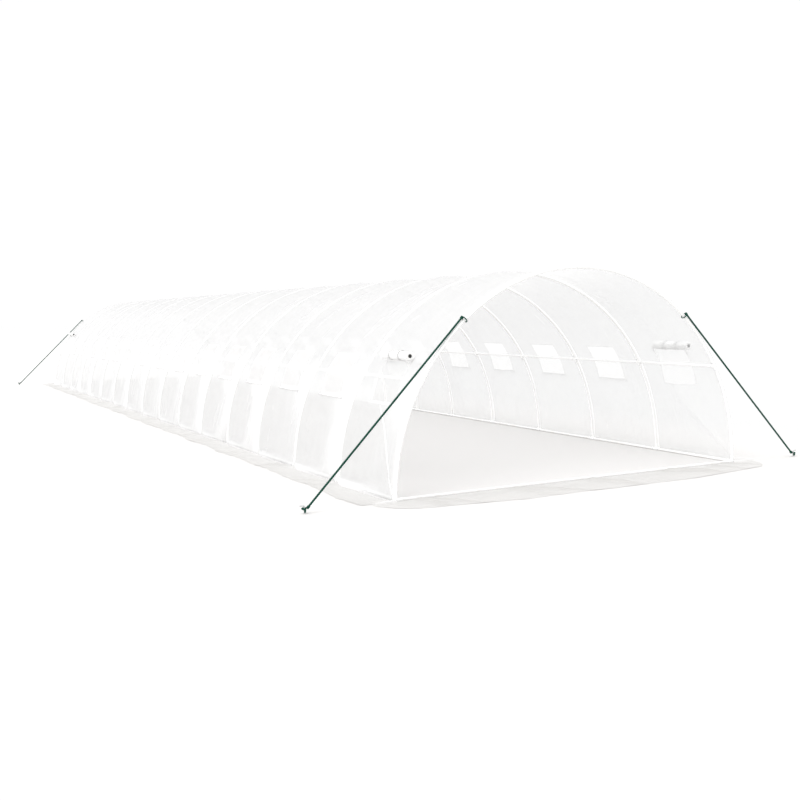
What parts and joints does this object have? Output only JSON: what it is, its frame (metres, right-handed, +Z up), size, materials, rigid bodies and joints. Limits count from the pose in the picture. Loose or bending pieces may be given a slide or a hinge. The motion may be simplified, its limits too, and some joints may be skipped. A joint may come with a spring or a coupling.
{
  "type": "polytunnel greenhouse",
  "caption": "Long round-topped polytunnel greenhouse with steel tube hoops, a clear film cover, netted side windows with roll-up flaps, a ground skirt and guy ropes on pegs.",
  "frame": {"origin": "middle of the footprint, at ground level", "axes": "+X across the tunnel to its right side seen from the front, +Y along the tunnel to its back end, +Z up"},
  "size_m": [5.78, 19.031, 2.0212],
  "materials": {
    "tube_steel": "white powder coat over galvanised steel tube",
    "fitting": "white powder coat, pressed steel sleeves",
    "film": "clear polyethylene film, slightly hazy",
    "flap_film": "milky doubled polyethylene film and white netting",
    "rope": "dark green three-strand rope",
    "zinc": "zinc-plated steel"
  },
  "bodies": {
    "root": {"hoop_legs_left": "tube_steel", "hoop_legs_right": "tube_steel", "hoop_rafters_left": "tube_steel", "hoop_rafters_right": "tube_steel", "side_purlin_left": "tube_steel", "side_purlin_right": "tube_steel", "side_fittings_left": "fitting", "side_fittings_right": "fitting", "ridge_fittings": "fitting", "base_rail_left": "tube_steel", "base_rail_right": "tube_steel", "base_rail_front": "tube_steel", "base_rail_back": "tube_steel", "base_tees_left": "fitting", "base_tees_right": "fitting", "corner_fittings": "fitting", "wall_film_left": "film", "wall_film_right": "film", "window_film_left": "film", "window_film_right": "film", "shoulder_film_left": "film", "shoulder_film_right": "film", "roof_film_left": "film", "roof_film_right": "film", "window_nets_left": "flap_film", "window_nets_right": "flap_film", "window_flaps_left": "flap_film", "window_flaps_right": "flap_film", "rolled_flaps_left": "flap_film", "rolled_flaps_right": "flap_film", "flap_ties_left": "flap_film", "flap_ties_right": "flap_film", "ground_skirt_left": "film", "ground_skirt_right": "film", "ground_skirt_front": "film", "ground_skirt_back": "film", "guy_rope_front_left": "rope", "guy_rope_front_right": "rope", "guy_rope_back_left": "rope", "guy_rope_back_right": "rope", "rope_eyelets": "zinc", "ground_pegs": "zinc"}
  },
  "joints": []
}
